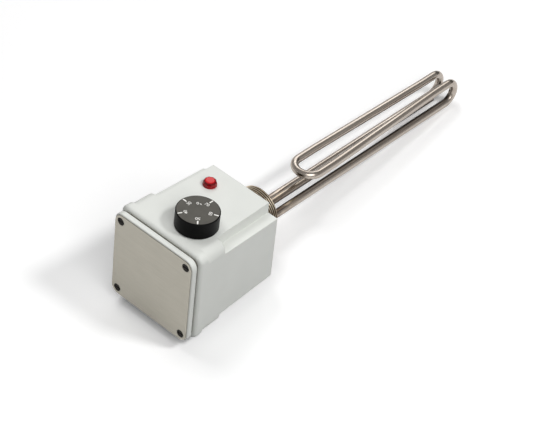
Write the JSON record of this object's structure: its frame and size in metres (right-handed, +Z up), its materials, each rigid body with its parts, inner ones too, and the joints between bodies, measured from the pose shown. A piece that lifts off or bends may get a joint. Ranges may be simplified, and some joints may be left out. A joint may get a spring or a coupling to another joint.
{
  "type": "screw plug immersion heater",
  "caption": "Screw plug immersion heater: grey terminal housing with a dial and a red pilot lamp on top, a threaded plug behind it and a long bent heating tube with a sensor pocket.",
  "frame": {"origin": "on the plug axis, at the face of the flat plug seal where the pipe thread starts", "axes": "+Y runs along the heater away from the housing, +Z is up with the dial on top, +X is to the right seen from the face plate"},
  "size_m": [0.1262, 0.4409, 0.122],
  "materials": {
    "moulded_plastic": "light warm-grey moulded housing plastic, fine satin texture",
    "satin_aluminium": "satin anodised sheet aluminium",
    "seal_rubber": "black seal rubber",
    "blackened_steel": "blackened steel screws",
    "plug_metal": "nickel-plated turned brass, dulled brownish",
    "element_sheath": "drawn metal tube, nickel-bright with a warm brown tone",
    "zinc_steel": "zinc-plated steel",
    "terminal_brass": "turned brass",
    "white_ceramic": "unglazed white ceramic",
    "capillary_copper": "drawn copper",
    "black_moulding": "black moulding, semi-gloss",
    "red_lens": "clear red lamp lens",
    "brown_insulation": "brown wire insulation",
    "black_insulation": "black wire insulation",
    "blue_insulation": "blue wire insulation",
    "green_insulation": "green and yellow wire insulation",
    "white_insulation": "white wire insulation",
    "gland_plastic": "light grey gland plastic"
  },
  "bodies": {
    "heater": {"housing": "moulded_plastic", "cover": "moulded_plastic", "cover_seal": "seal_rubber", "face_plate": "satin_aluminium", "cover_screws": "blackened_steel", "screw_plug": "plug_metal", "plug_seal": "seal_rubber", "housing_gasket": "seal_rubber", "plug_screws": "zinc_steel", "earth_screw": "terminal_brass", "heating_element": "element_sheath", "terminal_pins": "zinc_steel", "pin_bushes": "white_ceramic", "pin_nuts": "terminal_brass", "sensor_pocket": "element_sheath", "sensing_bulb": "capillary_copper", "capillary": "capillary_copper", "control_body": "black_moulding", "control_bracket": "zinc_steel", "control_screws": "zinc_steel", "lamp_lens": "red_lens", "lamp_body": "black_moulding", "lamp_nut": "black_moulding", "terminal_block": "white_ceramic", "block_screws": "zinc_steel", "wire_supply": "brown_insulation", "wire_load": "black_insulation", "wire_neutral": "blue_insulation", "wire_earth": "green_insulation", "lamp_leads": "white_insulation", "gland_body": "gland_plastic", "gland_nut": "gland_plastic", "gland_seal": "seal_rubber", "gland_locknut": "gland_plastic"},
    "dial": {"knob": "black_moulding", "control_spindle": "zinc_steel"}
  },
  "joints": [
    {"name": "dial_turn", "type": "hinge", "parent": "heater", "child": "dial", "pos_m": [0.01462, -0.091, 0.05097], "axis": [0, 0.0325, 0.9995], "range_deg": [-314, 0]}
  ]
}
